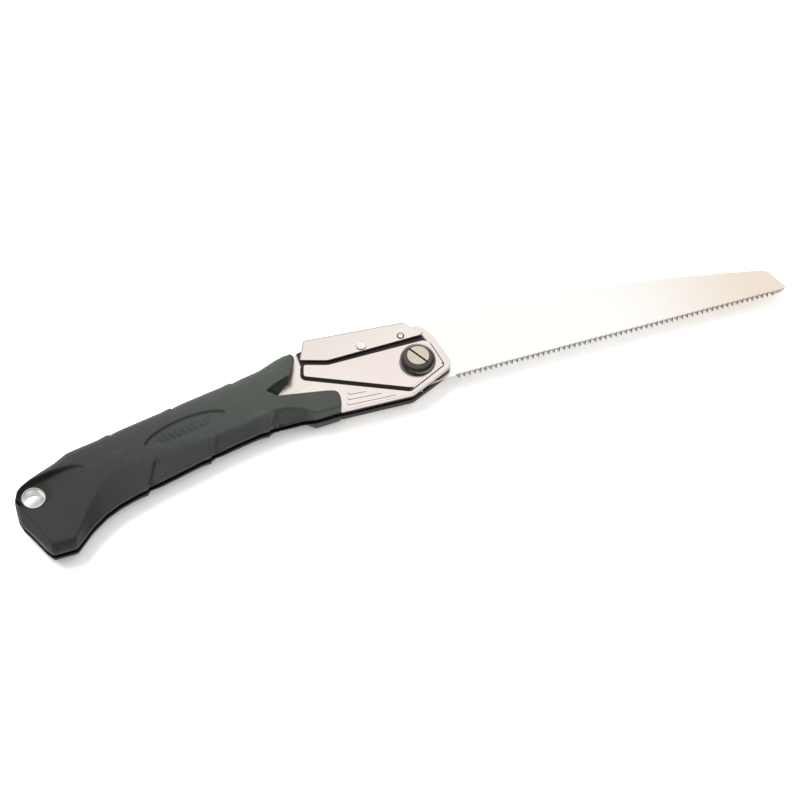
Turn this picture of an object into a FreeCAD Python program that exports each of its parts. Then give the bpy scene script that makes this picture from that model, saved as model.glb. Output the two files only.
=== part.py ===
import FreeCAD, Part
import math
import os

# Folding pruning saw, laid flat with its teeth toward -Y and its tip toward +X.
# Everything is drawn about the blade pivot (x, y, z = 0 at the blade's mid-plane) and then
# moved so that the origin is under the middle of the open saw, on its lowest face.

# ---- driving dimensions, mm and degrees -------------------------------------------------
BLADE_REACH = 219.0          # pivot to the point of the tip
BLADE_THICKNESS = 1.2
TOOTH_PITCH = 3.1
TOOTH_DEPTH = 3.0
TOOTH_LINE_Y = -13.5         # tooth points lie this far on the belly side of the pivot
TOOTH_START = 19.9           # the first tooth is at or just in front of this
TIP_PLAIN = 9.9              # smooth edge between the last tooth and the point
TIP_RISE = 3.1               # the point lies this far above the tooth line
TANG_RADIUS = 16.6
FOLD_ANGLE = 169.0

HANDLE_REACH = BLADE_REACH + 9.2     # pivot to the butt; the folded tip stays inside it
SLOT_HALF = 1.2              # half the gap between the two frame castings
CORE_TOP = 3.0               # outer face of the casting where the grip covers it
LEDGE_TOP = 4.7              # outer face of the bare head
PANEL_TOP = 6.5              # outer face of the raised panel
PANEL_BEVEL = 1.2
GRIP_TOP = 9.9
GRIP_LIP = 1.6               # grip edge beside the blade slot
CORE_INSET = 2.4             # grip rubber outside the casting's edge

BUSH_RADIUS = 5.0
SCREW_RADIUS = 4.0
RUNNING_GAP = 0.05
SCREW_HEAD_RADIUS = 9.9
SCREW_HEAD_HEIGHT = 5.6
SCREW_FACE_RADIUS = 6.0
SCREW_SLOT = 1.2
NUT_ACROSS_FLATS = 13.0
NUT_SEAT = 3.6
NUT_OUTER = 9.2
WASHER_SPRING = 1.2
WASHER_RADIUS = 9.0

LEVER_INNER = 5.5            # inside face of a lever cheek
LEVER_SHEET = 1.1
LEVER_LOCK_ANGLE = 5.0       # turn from clear of the tang to fully in the notch
LEVER_PIVOT = (-26.3, 18.7)
LOCK_PIN_AT = (-3.5, 18.7)
LOCK_PIN_RADIUS = 2.1
RIVET_RADIUS = 2.0
PIN_CLEARANCE = 0.35
SPRING_X = -45.0
SPRING_FOOT_Y = 16.5
SPRING_POCKET = 2.7
SPRING_RADIUS = 1.9
SPRING_WIRE = 0.3
SPRING_TURNS = 6.0
GUIDE_RADIUS = 1.1
GUIDE_ROOT = 4.0
GUIDE_LENGTH = 6.0

JOIN_RADIUS = 1.5            # screws and rivet that hold the castings together
JOIN_HEAD_RADIUS = 2.8
JOIN_HEAD_DEPTH = 1.6
DOWEL_RADIUS = 2.0

EYELET_INNER = 5.4
EYELET_OUTER = 6.2
EYELET_RIM = 6.9
EYELET_TOP = 3.9
LANYARD_PAD_TOP = 3.5

# Handle sections from the fork to the butt: spine point and belly point of each, in plan,
# given for a handle that reaches 228.2 mm from the pivot.
DRAWN_REACH = 228.2
SECTIONS = [
    ((-47.4, 27.0), (-47.4, -18.6)),
    ((-64.8, 25.9), (-63.1, -17.6)),
    ((-74.0, 24.6), (-71.5, -16.0)),
    ((-84.0, 21.0), (-81.0, -15.9)),
    ((-99.2, 18.0), (-94.2, -17.2)),
    ((-115.5, 15.3), (-110.6, -20.0)),
    ((-131.9, 12.5), (-127.1, -24.0)),
    ((-148.0, 9.6), (-143.4, -27.9)),
    ((-164.1, 6.7), (-159.6, -31.8)),
    ((-180.0, 3.9), (-175.9, -36.8)),
    ((-192.0, 2.3), (-189.5, -43.4)),
    ((-203.0, -2.2), (-203.0, -55.0)),
    ((-217.0, -8.7), (-216.1, -56.0)),
    ((-224.6, -12.6), (-223.8, -43.0)),
    ((-228.2, -21.6), (-228.2, -31.2)),
]
# Cross-section of a grip half: share of the way from spine to belly, and height.
GRIP_PROFILE = [(0.0, 3.6), (0.09, 7.4), (0.27, 10.0), (0.53, 10.0), (0.80, 7.6), (1.0, 3.4)]
PROFILE_TOP = 9.9            # the crest above this height is cut flat, so the saw lies steady
SEAM_SHARE = 0.28            # the two grip halves meet on the spine side of this line
BUTT_HEIGHTS = {12: 0.92, 13: 0.62, 14: 0.50}

# Plan outlines of the head, drawn about the pivot.
HEAD_FRONT = [(17.8, -3.6), (14.0, 15.2), (9.7, 23.2), (6.4, 24.6), (3.0, 22.2), (-2.0, 22.3), (-58.2, 26.6), (-63.4, 25.0)]
HEAD_FORK = [(-69.0, 11.0), (-86.2, -3.5), (-48.2, -7.0), (-48.2, -17.3)]
HEAD_BELLY = [(-8.6, -18.5), (16.0, -8.0)]
PANEL = [(12.8, -5.2), (10.2, 10.6), (7.4, 12.3), (-47.4, 12.1), (-60.0, 16.1), (-62.2, 9.1), (-8.8, -15.3)]
LEVER = [(-61.3, 19.8), (-46.7, 15.1), (7.4, 16.2), (9.8, 17.9), (3.0, 24.7), (1.4, 27.2), (-55.6, 31.6)]
CORNER_RADIUS = 1.2
BLADE_SPINE = [(214.3, 2.0), (211.0, 4.4), (206.6, 5.7), (188.0, 9.6), (160.0, 15.2), (130.0, 19.7), (100.0, 22.4),
               (70.0, 24.8), (40.0, 26.6), (14.0, 27.6), (9.6, 26.0), (5.5, 19.4)]
HEAD_LINES = [((-41.9, -8.7), (-33.0, -9.4)), ((-43.3, -11.8), (-25.2, -13.0)), ((-44.7, -15.0), (-18.2, -16.4))]
LINE_WIDTH = 0.7
LINE_DEPTH = 0.35


def vec(point, z):
    return FreeCAD.Vector(point[0], point[1], z)


def wire(points, z):
    return Part.makePolygon([vec(p, z) for p in points] + [vec(points[0], z)])


def slab(points, z0, z1):
    return Part.Face(wire(points, z0)).extrude(FreeCAD.Vector(0, 0, z1 - z0))


def disc(radius, z0, z1, at=(0.0, 0.0)):
    return Part.makeCylinder(radius, z1 - z0, vec(at, z0))


def tube(outer, inner, z0, z1, at=(0.0, 0.0)):
    return disc(outer, z0, z1, at).cut(disc(inner, z0, z1, at))


def turned(profile, at=(0.0, 0.0)):
    """Solid of revolution about a vertical axis from (radius, z) corners."""
    corners = [FreeCAD.Vector(r, 0, z) for r, z in profile]
    face = Part.Face(Part.makePolygon(corners + [corners[0]]))
    solid = face.revolve(FreeCAD.Vector(0, 0, 0), FreeCAD.Vector(0, 0, 1), 360)
    solid.translate(vec(at, 0))
    return solid


def polar(radius, angle):
    return (radius * math.cos(math.radians(angle)), radius * math.sin(math.radians(angle)))


def about(point, centre, angle):
    """Point turned by an angle about a centre, in plan."""
    c, s = math.cos(math.radians(angle)), math.sin(math.radians(angle))
    dx, dy = point[0] - centre[0], point[1] - centre[1]
    return (centre[0] + c * dx - s * dy, centre[1] + s * dx + c * dy)


def toward(start, end, distance):
    """Point a given distance from start on the way to end."""
    length = math.hypot(end[0] - start[0], end[1] - start[1])
    share = distance / length
    return (start[0] + share * (end[0] - start[0]), start[1] + share * (end[1] - start[1]))


def offset(points, distance):
    """Polygon with every side moved outward by a distance; the corners stay mitred."""
    area = sum(p[0] * q[1] - q[0] * p[1] for p, q in zip(points, points[1:] + points[:1]))
    sign = 1.0 if area > 0 else -1.0
    lines = []
    for p, q in zip(points, points[1:] + points[:1]):
        length = math.hypot(q[0] - p[0], q[1] - p[1])
        nx, ny = sign * (q[1] - p[1]) / length, -sign * (q[0] - p[0]) / length
        lines.append((nx, ny, nx * p[0] + ny * p[1] + distance))
    moved = []
    for (a1, b1, c1), (a2, b2, c2) in zip(lines[-1:] + lines[:-1], lines):
        det = a1 * b2 - a2 * b1
        moved.append(((c1 * b2 - c2 * b1) / det, (a1 * c2 - a2 * c1) / det))
    return moved


def corners_rounded(solid, radius):
    """Fillet of every edge of a slab or tapered block that doesn't lie flat."""
    edges = [e for e in solid.Edges if e.BoundBox.ZLength > 0.5 * solid.BoundBox.ZLength]
    return solid.makeFillet(radius, edges)


def mirrored(shape):
    return shape.mirror(FreeCAD.Vector(0, 0, 0), FreeCAD.Vector(0, 0, 1))


def as_solid(shape):
    """The single solid of a boolean result, with split faces joined again."""
    clean = shape.removeSplitter()
    return clean.Solids[0] if len(clean.Solids) == 1 else clean


# ---- handle plan ------------------------------------------------------------------------


def handle_x(x):
    """Handle stations move with the handle's reach; the head in front of them does not."""
    front = SECTIONS[1][0][0]
    return x if x > front else front + (x - front) * (HANDLE_REACH + front) / (DRAWN_REACH + front)


def handle_point(point):
    return (handle_x(point[0]), point[1])


sections = [(handle_point(s), handle_point(b)) for s, b in SECTIONS]
LANYARD_AT = handle_point((-218.0, -20.3))
locked_pin_at = about(LOCK_PIN_AT, LEVER_PIVOT, -LEVER_LOCK_ANGLE)
fold_dip = math.tan(math.radians(180.0 - FOLD_ANGLE))
fold_offset = -TOOTH_LINE_Y / math.cos(math.radians(180.0 - FOLD_ANGLE))


def folded_teeth_y(x):
    """Height of the folded blade's tooth line at a station behind the pivot."""
    return fold_offset + x * fold_dip


def blade_way():
    """Room between the castings that the tang and the folding blade pass through."""
    reach = BLADE_REACH + 1.4
    front = -14.5
    clear = 1.3
    tip_angle = 180.0 + math.degrees(math.atan2(-folded_teeth_y(-reach) - clear, reach))
    tip = polar(reach, tip_angle)
    points = [(60.0, 60.0), (front, 60.0), (front, folded_teeth_y(front) + clear), tip]
    steps = 12
    for i in range(1, steps + 1):
        points.append(polar(reach, tip_angle + (265.0 - tip_angle) * i / steps))
    points.append((60.0, -reach))
    way = slab(points, -SLOT_HALF, SLOT_HALF)
    return way.fuse(disc(TANG_RADIUS + 0.8, -SLOT_HALF, SLOT_HALF))


# ---- blade ------------------------------------------------------------------------------
def blade():
    """Tang with a lock notch and a closed-position shoulder, toothed edge, clipped tip."""
    points = [polar(TANG_RADIUS, a) for a in range(82, 244, 6)]
    points += [polar(TANG_RADIUS - 0.4, 252), polar(TANG_RADIUS - 0.9, 262), polar(TANG_RADIUS - 3.4, 262)]
    points += [polar(TANG_RADIUS - 3.4, a) for a in (272, 282, 292)]
    gullet_y = TOOTH_LINE_Y + TOOTH_DEPTH
    last = BLADE_REACH - TIP_PLAIN
    count = int((last - TOOTH_START) / TOOTH_PITCH)
    start = last - count * TOOTH_PITCH
    points.append((start - 0.5 * TOOTH_PITCH, gullet_y))
    for i in range(count):
        x = start + i * TOOTH_PITCH
        points.append((x, TOOTH_LINE_Y))
        points.append((x + 0.5 * TOOTH_PITCH, gullet_y))
    points.append((last, TOOTH_LINE_Y))
    points.append((last + 0.5 * TOOTH_PITCH, TOOTH_LINE_Y + 0.5 * TOOTH_DEPTH))
    points.append((last + 0.8 * TOOTH_PITCH, TOOTH_LINE_Y + 0.26 * TIP_RISE))
    points.append((last + 0.5 * TIP_PLAIN, TOOTH_LINE_Y + 0.36 * TIP_RISE))
    points.append((BLADE_REACH, TOOTH_LINE_Y + TIP_RISE))
    shift = BLADE_REACH - 219.0
    for x, y in BLADE_SPINE:
        points.append((x + shift * max(0.0, x - 14.0) / 198.0, y))
    body = slab(points, -0.5 * BLADE_THICKNESS, 0.5 * BLADE_THICKNESS)
    body = body.cut(disc(BUSH_RADIUS + RUNNING_GAP, -2.0, 2.0))
    notch = disc(LOCK_PIN_RADIUS + PIN_CLEARANCE, -2.0, 2.0, locked_pin_at)
    return as_solid(body.cut(notch))


# ---- frame castings ---------------------------------------------------------------------
core_outline = [toward(s, b, CORE_INSET) for s, b in sections[:-1]]
core_outline.append(toward(sections[-1][0], (-100.0, -20.0), CORE_INSET))
core_outline.append(toward(sections[-1][1], (-100.0, -20.0), CORE_INSET))
core_outline += [toward(b, s, CORE_INSET) for s, b in reversed(sections[:-1])]

head_outline = HEAD_FRONT + HEAD_FORK + HEAD_BELLY

SCREW_SPOTS = [(-78.0, 9.0), (-132.0, -2.0), (-192.0, -13.0)]
DOWEL_SPOTS = [(-104.0, 4.0), (-166.0, -7.5)]
HEEL_RIVET_AT = handle_point((-221.7, -30.5))


def frame_blank():
    """One casting before its machining: covered core, spine rib, bare head, raised panel."""
    core = slab(core_outline, 0.0, CORE_TOP)
    head = corners_rounded(slab(head_outline, 0.0, LEDGE_TOP), CORNER_RADIUS)
    low = wire(offset(PANEL, PANEL_BEVEL), LEDGE_TOP)
    high = wire(PANEL, PANEL_TOP)
    panel = corners_rounded(Part.makeLoft([low, high], True, True), CORNER_RADIUS)
    body = core.fuse([head, panel]).cut(blade_way())
    body = body.cut(disc(BUSH_RADIUS, 0.0, PANEL_TOP))
    body = body.cut(disc(RIVET_RADIUS, 0.0, LEDGE_TOP, LEVER_PIVOT))
    body = body.cut(disc(EYELET_OUTER, 0.0, CORE_TOP, LANYARD_AT))
    slot_half = LOCK_PIN_RADIUS + PIN_CLEARANCE + 0.05
    x = 0.5 * (locked_pin_at[0] + LOCK_PIN_AT[0])
    low_y = locked_pin_at[1]
    slot = [(x - slot_half, low_y), (x + slot_half, low_y), (x + slot_half, 40.0), (x - slot_half, 40.0)]
    body = body.cut(slab(slot, 0.0, PANEL_TOP))
    body = body.cut(disc(slot_half, 0.0, PANEL_TOP, (x, low_y)))
    pocket = Part.makeCylinder(SPRING_POCKET, 20.0, FreeCAD.Vector(SPRING_X, SPRING_FOOT_Y, 0.0),
                               FreeCAD.Vector(0, 1, 0))
    guide = Part.makeCylinder(GUIDE_RADIUS, GUIDE_ROOT, FreeCAD.Vector(SPRING_X, SPRING_FOOT_Y - GUIDE_ROOT, 0.0),
                              FreeCAD.Vector(0, 1, 0))
    body = body.cut(pocket).cut(guide)
    for spot in SCREW_SPOTS:
        body = body.cut(disc(JOIN_RADIUS, 0.0, CORE_TOP, handle_point(spot)))
    for spot in DOWEL_SPOTS:
        body = body.cut(disc(DOWEL_RADIUS, 0.0, CORE_TOP - 0.6, handle_point(spot)))
    return body.cut(disc(JOIN_RADIUS, 0.0, CORE_TOP, HEEL_RIVET_AT))


def engraved(body):
    """Three ruled lines of growing length on the ledge below the panel."""
    for start, end in HEAD_LINES:
        run = toward((0.0, 0.0), (end[0] - start[0], end[1] - start[1]), 0.5 * LINE_WIDTH)
        side = (-run[1], run[0])
        strip = [(start[0] + side[0], start[1] + side[1]), (end[0] + side[0], end[1] + side[1]),
                 (end[0] - side[0], end[1] - side[1]), (start[0] - side[0], start[1] - side[1])]
        body = body.cut(slab(strip, LEDGE_TOP - LINE_DEPTH, LEDGE_TOP + 1.0))
    return body


def frame_upper():
    body = frame_blank()
    for spot in SCREW_SPOTS:
        body = body.cut(disc(JOIN_HEAD_RADIUS, CORE_TOP - JOIN_HEAD_DEPTH, CORE_TOP, handle_point(spot)))
    body = body.cut(disc(JOIN_HEAD_RADIUS, CORE_TOP - JOIN_HEAD_DEPTH, CORE_TOP, HEEL_RIVET_AT))
    return as_solid(engraved(body))


def frame_lower():
    body = frame_blank()
    body = body.cut(disc(JOIN_HEAD_RADIUS, CORE_TOP - JOIN_HEAD_DEPTH, CORE_TOP, HEEL_RIVET_AT))
    body = body.cut(disc(0.5 * NUT_ACROSS_FLATS + 1.9, NUT_SEAT, PANEL_TOP))
    return as_solid(mirrored(body))


# ---- grips ------------------------------------------------------------------------------
def grip_section(index):
    """Closed wire of one grip cross-section, from the spine over the top to the belly."""
    spine, belly = sections[index]
    scale = BUTT_HEIGHTS.get(index, 1.0) * GRIP_TOP / PROFILE_TOP
    rows = [(0.0, 0.0)]
    rows += [(u, z * scale) for u, z in GRIP_PROFILE]
    rows += [(1.0, GRIP_LIP), (SEAM_SHARE, GRIP_LIP), (SEAM_SHARE, 0.0)]
    corners = []
    for u, z in rows:
        corners.append(FreeCAD.Vector(spine[0] + u * (belly[0] - spine[0]), spine[1] + u * (belly[1] - spine[1]), z))
    return Part.makePolygon(corners + [corners[0]])


def grip_half(frame):
    """Grip rubber moulded over the upper casting, forked round the head."""
    body = Part.makeLoft([grip_section(i) for i in range(len(sections))], True, True)
    reach = 2.0 * HANDLE_REACH
    body = body.cut(Part.makeBox(reach, reach, 10.0, FreeCAD.Vector(-reach, -0.5 * reach, GRIP_TOP)))
    fork = [HEAD_FRONT[-1]] + HEAD_FORK[:3] + [(60.0, HEAD_FORK[2][1]), (60.0, 45.0), (HEAD_FRONT[-1][0] + 4.0, 45.0)]
    body = body.cut(slab(fork, -1.0, 20.0))
    scoop = Part.makeCone(9.6, 22.0, 9.0, vec(LANYARD_AT, LANYARD_PAD_TOP))
    body = body.cut(scoop).cut(disc(EYELET_OUTER, 0.0, 20.0, LANYARD_AT))
    body = body.cut(slab(core_outline, -1.0, CORE_TOP)).cut(slab(head_outline, -1.0, LEDGE_TOP)).cut(frame)
    body = body.cut(blade_way())
    return as_solid(body)


# ---- lever and its pins -----------------------------------------------------------------
def lever_top_y(x):
    """Outer face of the lever's web at a station."""
    (x0, y0), (x1, y1) = LEVER[-1], LEVER[-2]
    return y0 + (y1 - y0) * (x - x0) / (x1 - x0)


def lock_lever():
    """Folded sheet channel: two cheeks joined by a web along the spine."""
    cheek_top = LEVER_INNER + LEVER_SHEET
    rear, front = LEVER[-1], LEVER[-2]
    run = toward((0.0, 0.0), (front[0] - rear[0], front[1] - rear[1]), LEVER_SHEET)
    drop = (run[1], -run[0])
    web = [rear, front, (front[0] + drop[0], front[1] + drop[1]), (rear[0] + drop[0], rear[1] + drop[1])]
    cheek = corners_rounded(slab(LEVER, LEVER_INNER, cheek_top), CORNER_RADIUS)
    body = cheek.fuse(mirrored(cheek))
    body = body.fuse(slab(web, -cheek_top, cheek_top)).removeSplitter()
    bends = [e for e in body.Edges if is_bend(e, rear, front, cheek_top)]
    body = body.makeFillet(0.8 * LEVER_SHEET, bends)
    body = body.cut(disc(RIVET_RADIUS + RUNNING_GAP, -8.0, 8.0, LEVER_PIVOT))
    return as_solid(body.cut(disc(LOCK_PIN_RADIUS, -8.0, 8.0, LOCK_PIN_AT)))


def is_bend(edge, rear, front, height):
    """True for the two outer long edges where a cheek turns into the web."""
    ends = [v.Point for v in edge.Vertexes]
    if len(ends) != 2:
        return False
    long_enough = ends[0].distanceToPoint(ends[1]) > 0.9 * math.hypot(front[0] - rear[0], front[1] - rear[1])
    outer = all(abs(abs(p.z) - height) < 0.01 and abs(p.y - lever_top_y(p.x)) < 0.01 for p in ends)
    return long_enough and outer


def domed_pin(radius, face, dome_radius, dome_height):
    """Straight pin with a low dome at both ends; faces at plus and minus the given height."""
    profile = [(0.0, -face - dome_height), (0.6 * dome_radius, -face - 0.75 * dome_height), (dome_radius, -face),
               (radius, -face), (radius, face), (dome_radius, face),
               (0.6 * dome_radius, face + 0.75 * dome_height), (0.0, face + dome_height)]
    if dome_radius == radius:
        profile = [p for i, p in enumerate(profile) if i not in (2, 5)]
    return profile


def lever_rivet():
    return turned(domed_pin(RIVET_RADIUS, LEVER_INNER + LEVER_SHEET + 0.1, 2.7, 0.9), LEVER_PIVOT)


def lock_pin():
    return turned(domed_pin(LOCK_PIN_RADIUS, LEVER_INNER + LEVER_SHEET + 0.05, LOCK_PIN_RADIUS, 0.25), LOCK_PIN_AT)


def lever_spring():
    """Compression spring standing in the spine, pushing the rear of the lever outward."""
    foot = SPRING_FOOT_Y + SPRING_WIRE
    height = lever_top_y(SPRING_X) - LEVER_SHEET - SPRING_WIRE - 0.15 - foot
    helix = Part.makeHelix(height / SPRING_TURNS, height, SPRING_RADIUS)
    ring = Part.Wire(Part.makeCircle(SPRING_WIRE, FreeCAD.Vector(SPRING_RADIUS, 0, 0), FreeCAD.Vector(0, 1, 0)))
    coil = Part.Wire(helix).makePipeShell([ring], True, True)
    coil.rotate(FreeCAD.Vector(0, 0, 0), FreeCAD.Vector(1, 0, 0), -90)
    coil.translate(FreeCAD.Vector(SPRING_X, foot, 0.0))
    return coil


def spring_guide():
    return Part.makeCylinder(GUIDE_RADIUS, GUIDE_ROOT + GUIDE_LENGTH,
                             FreeCAD.Vector(SPRING_X, SPRING_FOOT_Y - GUIDE_ROOT, 0.0), FreeCAD.Vector(0, 1, 0))


# ---- blade pivot ------------------------------------------------------------------------
def pivot_screw():
    """Slotted domed screw: black shoulder, flat turned face, plain shank."""
    z = PANEL_TOP
    top = z + SCREW_HEAD_HEIGHT
    profile = [(0.0, -NUT_OUTER - 0.2), (SCREW_RADIUS, -NUT_OUTER - 0.2), (SCREW_RADIUS, z),
               (SCREW_HEAD_RADIUS - 0.4, z), (SCREW_HEAD_RADIUS, z + 0.5), (SCREW_HEAD_RADIUS, z + 1.8),
               (SCREW_HEAD_RADIUS - 0.5, z + 3.0), (SCREW_HEAD_RADIUS - 1.6, z + 4.3),
               (SCREW_FACE_RADIUS + 0.5, top - 0.45), (SCREW_FACE_RADIUS, top), (0.0, top)]
    body = turned(profile)
    slot = Part.makeBox(2.0 * SCREW_HEAD_RADIUS + 2.0, SCREW_SLOT, 3.0,
                        FreeCAD.Vector(-SCREW_HEAD_RADIUS - 1.0, -0.5 * SCREW_SLOT, top - 1.3))
    slot.rotate(FreeCAD.Vector(0, 0, 0), FreeCAD.Vector(0, 0, 1), -59)
    return body.cut(slot)


def pivot_nut():
    corner = 0.5 * NUT_ACROSS_FLATS / math.cos(math.radians(30))
    hexagon = [polar(corner, 60 * i) for i in range(6)]
    seat = -NUT_SEAT - WASHER_SPRING
    return slab(hexagon, -NUT_OUTER, seat).cut(disc(SCREW_RADIUS, -NUT_OUTER, seat))


def spring_washer():
    """Single-coil washer: a flat ring with a slanting gap."""
    ring = tube(SCREW_RADIUS + 2.9, SCREW_RADIUS + 0.1, -NUT_SEAT - WASHER_SPRING, -NUT_SEAT)
    gap = Part.makeBox(4.0, 1.0, 3.0, FreeCAD.Vector(SCREW_RADIUS - 0.5, -0.5, -NUT_SEAT - 2.0))
    return ring.cut(gap)


def blade_washer(sign):
    ring = tube(WASHER_RADIUS, BUSH_RADIUS, 0.5 * BLADE_THICKNESS + RUNNING_GAP, SLOT_HALF)
    return ring if sign > 0 else mirrored(ring)


# ---- joining hardware in the handle -----------------------------------------------------
def frame_screws():
    """Three countersunk-depth cylinder-head screws through the spine rib."""
    screws = []
    for spot in SCREW_SPOTS:
        at = handle_point(spot)
        head = tube(JOIN_HEAD_RADIUS - 0.1, 1.0, CORE_TOP - 0.7, CORE_TOP - 0.1, at)
        collar = disc(JOIN_HEAD_RADIUS - 0.1, CORE_TOP - JOIN_HEAD_DEPTH, CORE_TOP - 0.7, at)
        shank = disc(JOIN_RADIUS, -CORE_TOP, CORE_TOP - JOIN_HEAD_DEPTH, at)
        screws.append(head.fuse([collar, shank]).removeSplitter())
    return Part.makeCompound(screws)


def frame_dowels():
    height = CORE_TOP - 0.6
    return Part.makeCompound([disc(DOWEL_RADIUS, -height, height, handle_point(s)) for s in DOWEL_SPOTS])


def heel_rivet():
    seat = CORE_TOP - JOIN_HEAD_DEPTH
    profile = [(0.0, -CORE_TOP), (JOIN_HEAD_RADIUS, -CORE_TOP), (JOIN_HEAD_RADIUS, -seat), (JOIN_RADIUS, -seat),
               (JOIN_RADIUS, seat), (JOIN_HEAD_RADIUS, seat), (JOIN_HEAD_RADIUS, CORE_TOP), (0.0, CORE_TOP)]
    return turned(profile, HEEL_RIVET_AT)


def lanyard_eyelet():
    """Rolled metal eyelet lining the lanyard hole."""
    pad = LANYARD_PAD_TOP
    profile = [(EYELET_INNER, -EYELET_TOP), (EYELET_RIM, -pad - 0.05), (EYELET_RIM, -pad), (EYELET_OUTER, -pad),
               (EYELET_OUTER, pad), (EYELET_RIM, pad), (EYELET_RIM, pad + 0.05), (EYELET_INNER, EYELET_TOP)]
    return turned(profile, LANYARD_AT)


upper = frame_upper()
grip = grip_half(upper)
nodes = {
    "blade": blade(),
    "frame_upper": upper,
    "frame_lower": frame_lower(),
    "grip_upper": grip,
    "grip_lower": mirrored(grip),
    "lock_lever": lock_lever(),
    "lever_rivet": lever_rivet(),
    "lock_pin": lock_pin(),
    "lever_spring": lever_spring(),
    "spring_guide": spring_guide(),
    "pivot_screw": pivot_screw(),
    "pivot_bush": tube(BUSH_RADIUS, SCREW_RADIUS, -NUT_SEAT, PANEL_TOP),
    "pivot_nut": pivot_nut(),
    "spring_washer": spring_washer(),
    "blade_washer_upper": blade_washer(1),
    "blade_washer_lower": blade_washer(-1),
    "frame_screws": frame_screws(),
    "frame_dowels": frame_dowels(),
    "heel_rivet": heel_rivet(),
    "lanyard_eyelet": lanyard_eyelet(),
}

box = FreeCAD.BoundBox()
for shape in nodes.values():
    box.add(shape.optimalBoundingBox(False, False))
shift = FreeCAD.Vector(-box.Center.x, -box.Center.y, -box.ZMin)

os.makedirs("parts", exist_ok=True)
for name, shape in nodes.items():
    placed = shape.copy()
    placed.translate(shift)
    placed.exportStep(os.path.join("parts", name + ".step"))
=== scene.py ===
import math
import bpy
import numpy as np
from mathutils import Matrix, Vector


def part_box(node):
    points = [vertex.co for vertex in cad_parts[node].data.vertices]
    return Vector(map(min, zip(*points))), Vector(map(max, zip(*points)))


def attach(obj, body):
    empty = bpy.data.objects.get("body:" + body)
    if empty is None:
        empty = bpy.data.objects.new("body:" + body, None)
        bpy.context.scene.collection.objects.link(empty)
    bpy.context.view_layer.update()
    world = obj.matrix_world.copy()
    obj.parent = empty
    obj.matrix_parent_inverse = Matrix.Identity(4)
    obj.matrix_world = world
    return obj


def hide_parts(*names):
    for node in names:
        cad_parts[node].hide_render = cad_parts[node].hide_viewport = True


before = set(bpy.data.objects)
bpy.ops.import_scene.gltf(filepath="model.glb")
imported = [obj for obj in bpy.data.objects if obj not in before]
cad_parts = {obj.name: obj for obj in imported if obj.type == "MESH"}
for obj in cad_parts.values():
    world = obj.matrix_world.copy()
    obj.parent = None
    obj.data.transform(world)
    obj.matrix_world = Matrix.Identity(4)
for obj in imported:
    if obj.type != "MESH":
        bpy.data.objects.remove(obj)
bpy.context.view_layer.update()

# ---- camera, floor and light ------------------------------------------------------------
# The saw lies on a plain white table under a large soft light a little behind it, and is
# looked at from the tooth side with a long lens. Low down and toward the viewer the room is
# dark, so that steep bright edges read dark.
bush_low, bush_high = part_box("pivot_bush")
blade_low, blade_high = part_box("blade")
PIVOT = np.array([(bush_low[0] + bush_high[0]) / 2, (bush_low[1] + bush_high[1]) / 2,
                  (blade_low[2] + blade_high[2]) / 2])
LOOK_AT = Vector((-0.01128, -0.005066, PIVOT[2]))
CAMERA_DISTANCE = 1.08282
AZIMUTH = math.radians(-22.47)
ELEVATION = math.radians(56.014)
ROLL = math.radians(-4.157)
LENS = 90.0
CLIP = 0.05, 20.0
FLOOR_SIZE = 6.0

camera = bpy.data.objects.new("camera", bpy.data.cameras.new("camera"))
bpy.context.scene.collection.objects.link(camera)
camera.data.lens = LENS
camera.data.clip_start, camera.data.clip_end = CLIP
back = Vector((math.sin(AZIMUTH) * math.cos(ELEVATION),
               -math.cos(AZIMUTH) * math.cos(ELEVATION), math.sin(ELEVATION)))
level_right = Vector((0, 0, 1)).cross(back).normalized()
level_up = back.cross(level_right)
right = math.cos(ROLL) * level_right - math.sin(ROLL) * level_up
up = math.sin(ROLL) * level_right + math.cos(ROLL) * level_up
camera.matrix_world = Matrix.Translation(LOOK_AT + CAMERA_DISTANCE * back) @ Matrix(
    (right, up, back)).transposed().to_4x4()
bpy.context.scene.camera = camera
bpy.context.scene.view_settings.view_transform = "Standard"


class Level:
    """One value in a material. Sums written with it add the Math nodes that work them out."""

    def __init__(self, finish, socket):
        self.finish, self.socket = finish, socket

    def _math(self, operation, a, b=0.0):
        return self.finish.put("ShaderNodeMath", {"operation": operation}, {0: a, 1: b})

    def __add__(self, other):
        return self._math("ADD", self, other)

    def __sub__(self, other):
        return self._math("SUBTRACT", self, other)

    def __rsub__(self, other):
        return self._math("SUBTRACT", other, self)

    def __mul__(self, other):
        return self._math("MULTIPLY", self, other)

    def __pow__(self, other):
        return self._math("POWER", self, other)

    def __or__(self, other):
        return self._math("MAXIMUM", self, other)

    def __abs__(self):
        return self._math("ABSOLUTE", self)

    __radd__ = __add__
    __rmul__ = __mul__


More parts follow.
